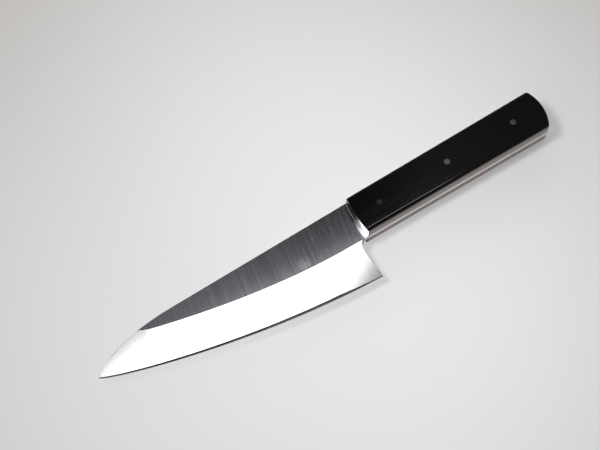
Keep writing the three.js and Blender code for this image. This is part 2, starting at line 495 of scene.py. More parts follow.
def make_piece(
    name: str, node: str, drawing: Drawing, skin: tuple[Array, Array, Array],
    materials: dict[Patch, Material],
) -> bpy.types.Object:
    """Makes a mesh object of a welded skin, with crisp edges between its kinds of surface.

    Its UV map is the drawing plane, turned so that u runs across the steel's grain.

    Args:
        name: Name of the piece.
        node: Frame node that the piece stands for.
        drawing: Drawing that the skin's points belong to.
        skin: Points, triangles and kinds of the triangles.
        materials: Material of each kind of surface.

    Returns:
        The new object.
    """
    points, triangles, kinds = skin
    mesh = bpy.data.meshes.new(name)
    mesh.vertices.add(len(points))
    mesh.vertices.foreach_set("co", drawing.in_frame(points).ravel())
    mesh.loops.add(triangles.size)
    mesh.loops.foreach_set("vertex_index", triangles.ravel())
    mesh.polygons.add(len(triangles))
    mesh.polygons.foreach_set("loop_start", np.arange(0, triangles.size, 3))
    distinct = list(dict.fromkeys(materials.values()))
    for material in distinct:
        mesh.materials.append(material)
    place = np.array([distinct.index(materials.get(kind, distinct[0])) for kind in Patch])
    mesh.polygons.foreach_set("material_index", place[kinds])
    mesh.update(calc_edges=True)
    mesh.shade_smooth()
    shapes = np.where(kinds == Patch.SANDED, Patch.RIM, kinds)
    edge_of_corner = np.empty(triangles.size, dtype=np.int32)
    mesh.loops.foreach_get("edge_index", edge_of_corner)
    least = np.full(len(mesh.edges), len(Patch))
    most = np.full(len(mesh.edges), -1)
    np.minimum.at(least, edge_of_corner, np.repeat(shapes, 3))
    np.maximum.at(most, edge_of_corner, np.repeat(shapes, 3))
    turn = radians(GRAIN_LEAN)
    turned = np.array(((cos(turn), -sin(turn)), (sin(turn), cos(turn))))
    plan = points[:, :2] @ turned / drawing.blade_length
    layer = mesh.uv_layers.new(name=GRAIN_MAP)
    layer.uv.foreach_set("vector", plan[triangles.ravel()].astype(np.float32).ravel())
    crisp = mesh.attributes.new("sharp_edge", "BOOLEAN", "EDGE")
    crisp.data.foreach_set("value", least != most)
    piece = bpy.data.objects.new(name, mesh)
    bpy.context.scene.collection.objects.link(piece)
    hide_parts(node)
    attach(piece, "root")
    log.info("%s: %d points, %d triangles", name, len(points), len(triangles))
    return piece


@dataclass(frozen=True)
class GroundBlade:
    """Blade and tang in one piece of steel: flats, wide bevels, narrow edge bevels and eased rim."""

    drawing: Drawing
    tip_thickness: float = 1.5
    tip_below_pins: float = 1.3
    fall_length: float = 48.4
    fall_reach: float = 24.5
    nose_reach: float = 11.5
    nose_angle: float = 38.5
    heel_reach: float = 66.5
    heel_angle: float = 2.7
    sweep_reach: float = 8.9
    sweep_angle: float = 37.0
    bevel_width_at_heel: float = 21.4
    bevel_width_at_tip: float = 19.0
    flare_power: float = 4.0
    run_out_rise: float = 0.9
    run_out_start: float = 0.65
    run_out_end: float = 0.7
    edge_bevel_at_heel: float = 0.3
    edge_bevel_widest: float = 1.6
    edge_bevel_widest_place: float = 0.12
    edge_bevel_at_tip: float = 0.75
    edge_bevel_angle: float = 13.0
    choil_radius: float = 5.6
    spine_easing: float = 0.1
    choil_easing: float = 0.4
    tang_easing: float = 0.03
    most_easing_share: float = 0.7
    heel_block_end: float = 0.07
    tang_front: float = 4.0
    heel_columns: int = 14
    bevel_columns: int = 110
    nose_columns: int = 48
    bevel_rows: int = 17
    crowding: float = 1.5
    edge_rows: int = 4
    flat_rows: int = 9
    under_points: int = 5
    fillet_points: int = 9
    rim_steps: int = 4
    samples: int = 600
    search_start: float = 0.5

    @property
    def tip(self) -> Array:
        """Point of the blade."""
        return np.array((-self.drawing.blade_length, -self.tip_below_pins))

    @property
    def handle_corner(self) -> Array:
        """Where the underside of the handle meets the circle of its front end."""
        end = self.drawing.front_end
        return meeting(*self.drawing.side_line(False), end.centre, end.radius, end.to_butt)

    @property
    def choil_top(self) -> Array:
        """Where the straight back of the heel meets the fillet up to the handle."""
        return self.handle_corner - self.choil_radius

    @property
    def heel(self) -> Array:
        """Rear corner of the cutting edge."""
        return np.array((self.choil_top[0], -self.drawing.heel_depth))

    def half_thickness(self, x: Array) -> Array:
        """Half the thickness of the flats: full stock at the handle, tapering evenly to the tip."""
        share = np.maximum(0.0, -np.asarray(x)) / self.drawing.blade_length
        return mix(self.drawing.stock, self.tip_thickness, share) / 2

    def spine_height(self, x: Array) -> Array:
        """Height of the spine: straight, then one cubic Bezier curve that falls to the tip."""
        nose = radians(self.nose_angle)
        fall_start = np.array((self.tip[0] + self.fall_length, self.drawing.spine))
        fall_control = fall_start - (self.fall_reach, 0.0)
        nose_control = self.tip + self.nose_reach * np.array((cos(nose), sin(nose)))
        share = np.linspace(0.0, 1.0, self.samples)
        line = bezier([fall_start, fall_control, nose_control, self.tip], share)[::-1]
        return np.interp(x, line[:, 0], line[:, 1])

    def edge(self, share: Array) -> tuple[Array, Array]:
        """Cutting edge, a cubic Bezier curve from heel to tip, and the square direction into the blade.

        Args:
            share: Curve parameters, 0 at the heel and 1 at the tip.

        Returns:
            Points and unit directions, as rows of x and y.
        """
        rise, sweep = radians(self.heel_angle), radians(self.sweep_angle)
        heel_control = self.heel + self.heel_reach * np.array((-cos(rise), sin(rise)))
        tip_control = self.tip + self.sweep_reach * np.array((cos(sweep), -sin(sweep)))
        controls = [self.heel, heel_control, tip_control, self.tip]
        along = bezier([b - a for a, b in zip(controls[:-1], controls[1:])], share)
        along = along / np.hypot(along[:, 0], along[:, 1])[:, None]
        return bezier(controls, share), np.column_stack((along[:, 1], -along[:, 0]))

    def bevel_width(self, share: Array) -> Array:
        """Width of the bevel: it flares towards the heel by a power, and swells where it runs out."""
        flare = mix(self.bevel_width_at_tip, self.bevel_width_at_heel, (1.0 - share) ** self.flare_power)
        part = np.clip((share - self.run_out_start) / (self.run_out_end - self.run_out_start), 0.0, 1.0)
        return flare + self.run_out_rise * part ** 2 * (3.0 - 2.0 * part)

    def narrow_width(self, share: Array) -> Array:
        """Width of the edge bevel: thin at the heel, soon widest, then evenly thinner to the tip."""
        places = (0.0, self.edge_bevel_widest_place, 1.0)
        widths = (self.edge_bevel_at_heel, self.edge_bevel_widest, self.edge_bevel_at_tip)
        return np.interp(share, places, widths)

    def junction(self) -> float:
        """Place along the edge whose bevel ridge runs out on the spine."""
        share = np.linspace(self.search_start, 1.0, self.samples)
        start, inwards = self.edge(share)
        ridge = start + inwards * self.bevel_width(share)[:, None]
        above = ridge[:, 1] - self.spine_height(ridge[:, 0])
        last = np.argmax(above > 0.0)
        part = above[last - 1] / (above[last - 1] - above[last])
        return mix(share[last - 1], share[last], part)

    def reach_to_spine(self, share: Array) -> Array:
        """Distance from the edge to the spine, square to the edge, where that is less than the bevel.

        Each square line is followed in small steps, and the first step past the spine is shared out.

        Args:
            share: Places along the edge.

        Returns:
            The distances, or the bevel's width where the ridge comes first.
        """
        start, inwards = self.edge(share)
        width = self.bevel_width(share)
        reach = np.linspace(0.0, 1.0, self.samples) * width[:, None]
        points = start[:, None, :] + inwards[:, None, :] * reach[..., None]
        left = self.spine_height(points[..., 0]) - points[..., 1]
        crossed = left < 0.0
        last = np.maximum(1, np.argmax(crossed, axis=1))
        row = np.arange(len(share))
        before, after = left[row, last - 1], left[row, last]
        part = np.clip(before / np.where(before == after, 1.0, before - after), 0.0, 1.0)
        found = mix(reach[row, last - 1], reach[row, last], part)
        return np.where(crossed.any(axis=1), found, width)

    def stations(self) -> tuple[Array, int]:
        """Places along the edge where the bevel is worked out, and the column of the ridge's end.

        They are evenly spaced up to the ridge's end, and crowd towards the tip by a power from there on.
        """
        ridge_end = self.junction()
        body = np.linspace(self.heel_block_end, ridge_end, self.bevel_columns)
        nose = 1.0 - (1.0 - ridge_end) * np.linspace(1.0, 0.0, self.nose_columns) ** self.crowding
        return np.concatenate((body, nose[1:])), self.heel_columns + self.bevel_columns - 1

    def bevel_height(self, reach: Array, narrow: Array, width: Array, ridge: Array) -> Array:
        """Half thickness at a distance from the edge: by the edge bevel's angle, then on to the ridge.

        Args:
            reach: Distances from the edge.
            narrow: Edge bevel widths.
            width: Bevel widths.
            ridge: Half thicknesses at the ridge.

        Returns:
            Half thickness at each distance.
        """
        slope = tan(radians(self.edge_bevel_angle))
        past = (reach - narrow) / (width - narrow)
        return np.where(reach < narrow, reach * slope, mix(narrow * slope, ridge, past))

    def choil(self, reach: Array) -> Array:
        """Back of the heel and its fillet, at given distances from the line of the heel's edge."""
        corner, top = self.handle_corner, self.choil_top
        centre = np.array((corner[0], top[1]))
        line = joined(straight(self.heel, top, self.samples), arc(centre, top, corner, self.samples))
        _, inwards = self.edge(np.zeros(1))
        depth = (line - self.heel) @ inwards[0]
        return np.stack([np.interp(reach, depth, places) for places in line.T], axis=-1)

    def bevel_sheets(self) -> tuple[Array, Array]:
        """Wide bevel and edge bevel: straight lines square to the edge, each with its own heights.

        Behind the first station the lines turn evenly into the back of the heel. Past the end of the
        ridge they stop at the spine. Rows of the wide bevel crowd towards its top by a power.

        Returns:
            The two sheets, with rows from the edge upwards and columns from heel to tip.
        """
        share, _ = self.stations()
        start, inwards = self.edge(share)
        width, narrow = self.bevel_width(share), self.narrow_width(share)
        top = self.reach_to_spine(share)
        ridge = self.half_thickness((start + inwards * width[:, None])[:, 0])
        heel_place = np.zeros(1)
        heel_width, heel_narrow = self.bevel_width(heel_place), self.narrow_width(heel_place)
        heel_ridge = self.half_thickness(self.choil(heel_width)[:, 0])
        lean = np.linspace(0.0, 1.0, self.heel_columns, endpoint=False)[None, :, None]
        sheets = []
        for wide, rows in ((True, self.bevel_rows), (False, self.edge_rows)):
            step = np.linspace(0.0, 1.0, rows)[:, None]
            step = 1.0 - (1.0 - step) ** self.crowding if wide else step
            shoulder = np.minimum(narrow, top)
            reach = mix(shoulder, top, step) if wide else shoulder * step
            plan = start[None] + inwards[None] * reach[..., None]
            sheet = lifted(plan, self.bevel_height(reach, narrow, width, ridge))
            heel_reach = mix(heel_narrow, heel_width, step) if wide else heel_narrow * step
            heel_height = self.bevel_height(heel_reach, heel_narrow, heel_width, heel_ridge)
            heel_column = lifted(self.choil(heel_reach), heel_height)
            sheets.append(np.concatenate((mix(heel_column, sheet[:, :1], lean), sheet), axis=1))
        return sheets[0], sheets[1]

    def flat_sheet(self, ridge: Array) -> Array:
        """Flat above the bevel and the neck in front of the handle: upright lines from ridge to spine.

        Args:
            ridge: Points of the bevel's ridge, from the heel's fillet to its end on the spine.

        Returns:
            The sheet, with rows upwards and columns from the tang to the tip.
        """
        corner = self.handle_corner
        centre = np.array((corner[0], self.choil_top[1]))
        under = straight(self.drawing.side_point(self.tang_front, False), corner, self.under_points)
        neck = joined(under, arc(centre, corner, ridge[0, :2], self.fillet_points))
        low = joined(neck, ridge[:, :2])
        top = np.column_stack((low[:, 0], np.minimum(self.spine_height(low[:, 0]), self.drawing.spine)))
        top[-1] = low[-1]
        plan = mix(low[None], top[None], np.linspace(0.0, 1.0, self.flat_rows)[:, None, None])
        return lifted(plan, self.half_thickness(plan[..., 0]))

    def rim(self, border: Array, easing: Array, rise: Array) -> tuple[Array, Array]:
        """Rim round the blade, from right side to left, with both its edges eased to a small radius.

        Args:
            border: Border of the left side, anticlockwise, as points with their half thickness.
            easing: Easing radius at each border point.
            rise: Slope of the side towards each border point.

        Returns:
            The rim's points as rows upwards and columns round the border, and the eased border.
        """
        run = np.gradient(border[:, :2], axis=0)
        square = np.column_stack((run[:, 1], -run[:, 0])) / np.hypot(run[:, 0], run[:, 1])[:, None]
        half = border[:, 2]
        radius = np.minimum(easing, self.most_easing_share * half)
        angle = np.linspace(0.0, pi / 2, self.rim_steps + 1)[:, None]
        inset = radius * (np.cos(angle) - 1.0)
        height = half + rise * inset - radius * (1.0 - np.sin(angle))
        plan = border[None, :, :2] + square[None] * inset[..., None]
        upper = lifted(plan, height)
        return np.concatenate((upper[::-1] * MIRROR, upper)), upper[-1]

    def skin(self) -> tuple[Array, Array, Array]:
        """Gathers both sides, the rim and the pin holes into one closed skin.

        The rim is merged with the sides along their plain border, which then moves to its eased place.

        Returns:
            Points, triangles and the kind of each triangle.
        """
        skin = Skin()
        bevel, edge = self.bevel_sheets()
        _, ridge_end = self.stations()
        flat = self.flat_sheet(bevel[-1, :ridge_end + 1])
        for sheet, kind in ((flat, Patch.FLAT), (bevel, Patch.BEVEL), (edge, Patch.EDGE)):
            skin.add_both(sheet, kind)
        tang = self.drawing.outline(flat[::-1, 0, :2], 0.0)
        half_stock = self.drawing.stock / 2
        for pin, cell in enumerate(tang.cells(self.flat_rows)):
            hole = self.drawing.hole(pin, cell)
            skin.add_both(lifted(np.stack((hole, cell)), half_stock), Patch.FLAT)
            wall = np.stack((lifted(hole, -half_stock), lifted(hole, half_stock)))
            skin.add(wall, Patch.HOLE, flip=True)
        ridge_start = np.argmin(np.abs(flat[0, :, 0] - bevel[-1, 0, 0]))
        neck = flat[0, :ridge_start + 1][::-1]
        tang_side = lifted(joined(*tang.belly, tang.butt, *tang.spine), half_stock)
        stretches = [
            (edge[:, 0], self.choil_easing),
            (bevel[:, 0], self.choil_easing),
            (neck, self.choil_easing),
            (tang_side, self.tang_easing),
            (flat[-1], self.spine_easing),
            (bevel[-1, ridge_end:], self.spine_easing),
        ]
        border = joined(*[points for points, _ in stretches])
        easing = joined(*[np.full(len(points), radius) for points, radius in stretches])
        last_step = bevel[-1, ridge_end:] - bevel[-2, ridge_end:]
        nose_rise = last_step[:, 2] / np.maximum(np.hypot(last_step[:, 0], last_step[:, 1]), WELD_MM)
        rise = np.zeros(len(border))
        rise[-len(nose_rise):] = nose_rise
        rows, eased = self.rim(border, easing, rise)
        rows[[0, -1]] = np.stack((border * MIRROR, border))
        number = skin.add(rows, Patch.RIM)
        return skin.welded([(number[0], eased * MIRROR), (number[-1], eased)])

    def build(self, finishes: dict[Patch, Material]) -> bpy.types.Object:
        """Makes the blade and dresses each kind of surface in its own finish."""
        return make_piece("ground_blade", "blade", self.drawing, self.skin(), finishes)


@dataclass(frozen=True)
class HandleScale:
    """One of the two scales: flat inner face, sanded satin sides in a brownish grey that is a painted
    reflection of the bright table, and a buffed front and outer face.

    The outer edge is a quarter round. Buffing has rolled the face over a little where it meets the
    round. A bead of adhesive stands along the foot of the front; its pale colour is a painted highlight,
    the thin light line along the foot.
    """

    drawing: Drawing
    side: Side
    bead: float = 0.14
    roll_width: float = 0.4
    roll_angle: float = 4.0
    rounding_steps: int = 12
    sanded_steps: int = 4
    roll_steps: int = 5
    cell_rows: int = 13
    face_shares: tuple[float, ...] = (0.0, 0.9, 0.985, 1.0)

    def profile(self) -> tuple[Array, Array]:
        """Insets and heights up the outer edge: a circle to the roll angle, then a flat parabola."""
        radius, roll = self.drawing.edge_rounding, radians(self.roll_angle)
        turn = np.linspace(0.0, pi / 2 - roll, self.rounding_steps + 1)
        run = np.linspace(0.0, 1.0, self.roll_steps + 1)[1:]
        inset = radius * (1.0 - np.cos(turn))
        height = radius * np.sin(turn)
        roll_rise = self.roll_width * tan(roll) * (run - run ** 2 / 2)
        inset = np.concatenate((inset, inset[-1] + self.roll_width * run))
        height = np.concatenate((height, height[-1] + roll_rise))
        return inset, height + self.drawing.outer_face - height[-1]

    def skin(self) -> tuple[Array, Array, Array]:
        """Gathers rim, faces and pin holes into one closed skin.

        The rim's first two rows make the foot and the bead. Each later row is the outline, pulled in by
        the edge's profile.

        Returns:
            Points, triangles and the kind of each triangle.
        """
        drawing = self.drawing
        insets, heights = self.profile()
        outlines = [drawing.scale_outline(inset / drawing.edge_rounding) for inset in insets]
        bead_end = replace(drawing.front_end, radius=drawing.front_radius + self.bead)
        foot = drawing.outline(drawing.end_line(bead_end, 0.0), 0.0)
        base = [
            lifted(foot.loop(), drawing.inner_face),
            lifted(outlines[0].loop(), drawing.inner_face + self.bead),
        ]
        edge = [lifted(outline.loop(), height) for outline, height in zip(outlines, heights)]
        skin = Skin()
        turn = self.side is Side.RIGHT
        across = np.array((1.0, 1.0, self.side.value))
        rim = np.stack(base + edge) * across
        buffed = len(base) + self.sanded_steps
        front = rim.shape[1] - len(outlines[0].front)
        # The sanded sides' brownish grey is a painted reflection of the bright table.
        skin.add(rim[:buffed + 1, :front + 1], Patch.SANDED, flip=turn)
        # The bead's pale colour is a painted highlight along the foot of the front.
        skin.add(rim[:len(base), front:], Patch.BEAD, flip=turn)
        skin.add(rim[1:buffed + 1, front:], Patch.RIM, flip=turn)
        skin.add(rim[buffed:], Patch.RIM, flip=turn)
        inner_cells = foot.cells(self.cell_rows)
        outer_cells = outlines[-1].cells(self.cell_rows)
        shares = np.array(self.face_shares)[:, None, None]
        for pin, (inner, outer) in enumerate(zip(inner_cells, outer_cells)):
            inner_hole, outer_hole = drawing.hole(pin, inner), drawing.hole(pin, outer)
            face = lifted(mix(outer_hole[None], outer[None], shares), drawing.outer_face)
            back = lifted(np.stack((inner_hole, inner)), drawing.inner_face)
            skin.add(face * across, Patch.RIM, flip=not turn)
            skin.add(back * across, Patch.FLAT, flip=turn)
            skin.add(np.stack((back[0], face[0])) * across, Patch.HOLE, flip=not turn)
        return skin.welded([])

    def build(self, finishes: dict[Patch, Material]) -> bpy.types.Object:
        """Makes the scale and dresses its buffed and sanded surfaces and its bead."""
        name = self.side.name.lower()
        return make_piece(
            f"polished_{name}_scale", f"{name}_scale", self.drawing, self.skin(), finishes
        )


@dataclass(frozen=True)
class HandlePin:
    """A steel pin through both scales and the tang, buffed flush with a hint of a crown."""

    drawing: Drawing
    place: int
    node: str
    sides: int = 64
    crown: float = 0.004
    chamfer: float = 0.02
    cap_shares: tuple[float, ...] = (0.0, 0.5, 1.0)

    def skin(self) -> tuple[Array, Array, Array]:
        """Turns the pin's profile, a wall between two crowned caps, round its axis.

        The cap falls with the square of the way to its rim.

        Returns:
            Points, triangles and the kind of each triangle.
        """
        radius, end = self.drawing.pin_radius, self.drawing.outer_face
        share = np.array(self.cap_shares)
        cap = np.column_stack(((radius - self.chamfer) * share, end - self.crown * share ** 2))
        wall = np.array(((radius, end - self.crown - self.chamfer),))
        upper = np.concatenate((wall, cap[-1:]))
        lower = upper[::-1] * (1.0, -1.0)
        angle = np.linspace(0.0, 2 * pi, self.sides + 1)
        circle = np.column_stack((np.cos(angle), np.sin(angle)))
        centre = np.array((self.drawing.pins[self.place], 0.0))

        def turned(profile: Array) -> Array:
            """Sweeps a profile of radii and heights round the pin's axis."""
            plan = centre + circle[None] * profile[:, :1, None]
            return lifted(plan, profile[:, 1:])

        skin = Skin()
        skin.add(turned(cap * (1.0, -1.0)), Patch.FLAT)
        skin.add(turned(np.concatenate((lower, upper))), Patch.RIM)
        skin.add(turned(cap[::-1]), Patch.FLAT)
        return skin.welded([])

    def build(self, finish: Material) -> bpy.types.Object:
        """Makes the pin and dresses it."""
        name = f"buffed_{self.node}"
        finishes = {Patch.FLAT: finish, Patch.RIM: finish}
        return make_piece(name, self.node, self.drawing, self.skin(), finishes)


def add_node(tree: Tree, kind: str, inputs: dict[str | int, Any], **settings: Any) -> Node:
    """Adds a node, sets its options, and fills or links its inputs.

    Args:
        tree: Node tree of a material or of the world.
        kind: Type name of the node.
        inputs: Value, or output socket to link, for each named or numbered input.
        **settings: Options of the node.

    Returns:
        The new node.
    """
    node = tree.nodes.new(kind)
    for option, value in settings.items():
        setattr(node, option, value)
    for place, value in inputs.items():
        if isinstance(value, Socket):
            tree.links.new(value, node.inputs[place])
        else:
            node.inputs[place].default_value = value
    return node


class MixSocket(IntEnum):
    """Numbers of the mix node's sockets for colours."""

    SHARE = 0
    FIRST = 6
    SECOND = 7
    RESULT = 2


def worked_out(tree: Tree, operation: str, *values: Socket | float) -> Socket:
    """Works one value out of others, by an operation of the math node."""
    node = add_node(tree, "ShaderNodeMath", dict(enumerate(values)), operation=operation)
    return node.outputs["Value"]


def blended(tree: Tree, share: Socket, first: Colour | Socket, second: Colour | Socket) -> Socket:
    """Mixes two colours: share 0 gives the first, and share 1 the second."""
    inputs = {MixSocket.SHARE: share, MixSocket.FIRST: first, MixSocket.SECOND: second}
    return add_node(tree, "ShaderNodeMix", inputs, data_type="RGBA").outputs[MixSocket.RESULT]


def ranged(
    tree: Tree, value: Socket, source: tuple[float, float], target: tuple[float, float] = (0.0, 1.0),
    smooth: bool = False,
) -> Socket:
    """Takes a value from one range to another, and holds it at the ends.

    Args:
        tree: Node tree of a material or of the world.
        value: The value.
        source: Range that it comes from.
        target: Range that it is taken to.
        smooth: True to ease in and out, False for a straight line.

    Returns:
        The value in its new range.
    """
    node = add_node(tree, "ShaderNodeMapRange", {
        "Value": value, "From Min": source[0], "From Max": source[1],
        "To Min": target[0], "To Max": target[1],
    }, interpolation_type="SMOOTHSTEP" if smooth else "LINEAR")
    return node.outputs["Result"]


def object_place(tree: Tree) -> Socket:
    """Place on the object's own axes, in metres."""
    return add_node(tree, "ShaderNodeTexCoord", {}).outputs["Object"]


def distance(tree: Tree, middle: tuple[float, float]) -> Socket:
    """Distance in plan, in metres, from a middle given in millimetres on the object's axes."""
    plan = add_node(tree, "ShaderNodeVectorMath", {
        0: object_place(tree), 1: (1.0, 1.0, 0.0),
    }, operation="MULTIPLY")
    away = add_node(tree, "ShaderNodeVectorMath", {
        0: plan.outputs["Vector"], 1: (middle[0] * MM, middle[1] * MM, 0.0),
    }, operation="DISTANCE")
    return away.outputs["Value"]


def noise(
    tree: Tree, size: tuple[float, float, float], detail: float, lean: float = 0.0, strength: float = 0.5
) -> Socket:
    """Noise on the object's own axes, stretched to a size and turned about the upright axis.

    Args:
        tree: Node tree of the material.
        size: Size of the pattern along each axis, in millimetres.
        detail: Number of finer layers.
        lean: Turn of the axes, in degrees.
        strength: Strength of each finer layer beside the one before.

    Returns:
        The noise level, about 0.3 to 0.7.
    """
    stretched = add_node(tree, "ShaderNodeMapping", {
        "Vector": object_place(tree), "Rotation": (0.0, 0.0, radians(lean)),
        "Scale": tuple(length * MM for length in size),
    }, vector_type="TEXTURE")
    return add_node(tree, "ShaderNodeTexNoise", {
        "Vector": stretched.outputs["Vector"], "Scale": 1.0, "Detail": detail, "Roughness": strength,
    }).outputs["Fac"]


@dataclass(frozen=True)
class Finish:
    """What every finish has: a name, a base colour and the shader's plain values."""

    name: str
    colour: str
    roughness: float
    metallic: float = 0.0
    ior: float = 1.5

    def texture(self, tree: Tree, shader: Node) -> None:
        """Adds the finish's own pattern to the shader."""

    def relief(self, tree: Tree, shader: Node, height: Socket, depth: float) -> None:
        """Tilts the shader's normal by a relief with a depth in millimetres."""
        bump = add_node(tree, "ShaderNodeBump", {
            "Height": height, "Strength": 1.0, "Distance": depth * MM,
        })
        tree.links.new(bump.outputs["Normal"], shader.inputs["Normal"])

    def material(self) -> Material:
        """Makes the material with its plain values, then adds its pattern."""
        material = bpy.data.materials.new(self.name)
        material.use_nodes = True
        shader = material.node_tree.nodes["Principled BSDF"]
        shader.inputs["Base Color"].default_value = linear(self.colour)
        shader.inputs["Roughness"].default_value = self.roughness
        shader.inputs["Metallic"].default_value = self.metallic
        if not self.metallic:
            shader.inputs["IOR"].default_value = self.ior
        self.texture(material.node_tree, shader)
        return material


@dataclass(frozen=True)
class GrainedSteel(Finish):
    """Stainless steel with an abrasive grain: fine lines in one direction over slow bands and clouds.

    Details and shares are those of grain, bands and clouds.
    """

    metallic: float = 1.0
    dark_colour: str = "#a8a5aa"
    grain: float = 0.9
    grain_length: float = 24.0
    band: float = 4.0
    band_length: float = 60.0
    cloud: float = 22.0
    details: tuple[float, float, float] = (4.0, 2.0, 1.0)
    shares: tuple[float, float, float] = (0.6, 0.25, 0.15)
    layer_strength: float = 0.6
    lean: float = GRAIN_LEAN
    tone_range: tuple[float, float] = (0.38, 0.62)
    grain_range: tuple[float, float] = (0.3, 0.7)
    roughness_spread: float = 0.06
    bump: float = 0.0002
    anisotropy: float = 0.0
    rub_middle: tuple[float, float] | None = None
    rub_core: float = 3.0
    rub_radius: float = 10.0
    rub_ragged: float = 9.0
    rub_detail: float = 2.0
    rub_roughness: float = 0.06

    def stretched(self, tree: Tree, width: float, length: float, detail: float) -> Socket:
        """Noise with a width across the grain and a length along it."""
        return noise(tree, (width, length, width), detail, self.lean, self.layer_strength)

    def texture(self, tree: Tree, shader: Node) -> None:
        """Adds grain, bands and clouds up by their shares, which gives the tone.

        The grain alone drives the roughness and the relief.

        Args:
            tree: Node tree of the material.
            shader: Shader of the material.
        """
        sizes = (
            (self.grain, self.grain_length), (self.band, self.band_length), (self.cloud, self.cloud),
        )
        layers = [self.stretched(tree, *size, detail) for size, detail in zip(sizes, self.details)]
        drift: Socket | float = 0.0
        for layer, share in zip(layers, self.shares):
            drift = worked_out(tree, "MULTIPLY_ADD", layer, share, drift)
        tone = ranged(tree, drift, self.tone_range)
        colour = blended(tree, tone, linear(self.dark_colour), linear(self.colour))
        tree.links.new(colour, shader.inputs["Base Color"])
        spread = self.roughness_spread / 2
        satins = (self.roughness - spread, self.roughness + spread)
        satin = ranged(tree, layers[0], self.grain_range, satins)
        if self.rub_middle:
            satin = worked_out(tree, "ADD", satin, self.rubbed(tree))
        tree.links.new(satin, shader.inputs["Roughness"])
        self.relief(tree, shader, layers[0], self.bump)
        if self.anisotropy:
            across = add_node(tree, "ShaderNodeTangent", {}, direction_type="UV_MAP", uv_map=GRAIN_MAP)
            tree.links.new(across.outputs["Tangent"], shader.inputs["Tangent"])
            shader.inputs["Anisotropic"].default_value = self.anisotropy

    def rubbed(self, tree: Tree) -> Socket:
        """Roughness that a rubbed place adds: less and less with the distance from its middle.

        Noise is added to the distance, so the place has a ragged border.

        Args:
            tree: Node tree of the material.

        Returns:
            The added roughness.
        """
        clouds = self.stretched(tree, self.band, self.band, self.rub_detail)
        away = distance(tree, self.rub_middle)
        ragged = worked_out(tree, "MULTIPLY_ADD", clouds, self.rub_ragged * MM, away)
        border = (self.rub_core * MM, self.rub_radius * MM)
        return ranged(tree, ragged, border, (self.rub_roughness, 0.0), smooth=True)


@dataclass(frozen=True)
class PolishedComposite(Finish):
    """Black paper laminate, buffed to a gloss: deep black, slightly wavy, with a few pale specks."""

    speck_colour: str = "#4a4d48"
    speck_spacing: float = 6.0
    speck_size: float = 0.25
    speck_rarity: float = 0.8
    scratch: float = 0.3
    scratch_length: float = 20.0
    scratch_detail: float = 3.0
    scratch_lean: float = 3.0
    wear_range: tuple[float, float] = (0.35, 0.75)
    wear_dulling: float = 2.2
    wave: float = 9.0
    wave_detail: float = 1.0
    wave_depth: float = 0.004

    def texture(self, tree: Tree, shader: Node) -> None:
        """Sets specks by cells of a Voronoi pattern, hairline wear in the gloss and a slow wave."""
        cells = add_node(tree, "ShaderNodeTexVoronoi", {
            "Vector": object_place(tree), "Scale": 1.0 / (self.speck_spacing * MM),
        })
        reach = self.speck_size / self.speck_spacing
        speck = ranged(tree, cells.outputs["Distance"], (reach / 2, reach), (1.0, 0.0))
        pick = add_node(tree, "ShaderNodeSeparateColor", {"Color": cells.outputs["Color"]})
        chosen = worked_out(tree, "GREATER_THAN", pick.outputs["Red"], self.speck_rarity)
        shown = worked_out(tree, "MULTIPLY", speck, chosen)
        colour = blended(tree, shown, linear(self.colour), linear(self.speck_colour))
        tree.links.new(colour, shader.inputs["Base Color"])
        line = (self.scratch_length, self.scratch, self.scratch)
        wear = noise(tree, line, self.scratch_detail, self.scratch_lean)
        gloss = ranged(tree, wear, self.wear_range, (self.roughness, self.roughness * self.wear_dulling))
        tree.links.new(gloss, shader.inputs["Roughness"])
        swell = noise(tree, (self.wave, self.wave, self.wave), self.wave_detail)
        self.relief(tree, shader, swell, self.wave_depth)


@dataclass(frozen=True)
class SandedComposite(Finish):
    """Resin with a satin surface, sanded laminate or cured film, with faint layers along the handle."""

    dark_colour: str = "#3a3431"
    layer: float = 0.35
    layer_length: float = 30.0
    layer_detail: float = 3.0
    layer_range: tuple[float, float] = (0.35, 0.65)

    def texture(self, tree: Tree, shader: Node) -> None:
        """Stretches noise along the handle, which drives the colour between two tones."""
        layers = noise(tree, (self.layer_length, self.layer, self.layer), self.layer_detail)
        tone = ranged(tree, layers, self.layer_range)
        colour = blended(tree, tone, linear(self.dark_colour), linear(self.colour))
        tree.links.new(colour, shader.inputs["Base Color"])


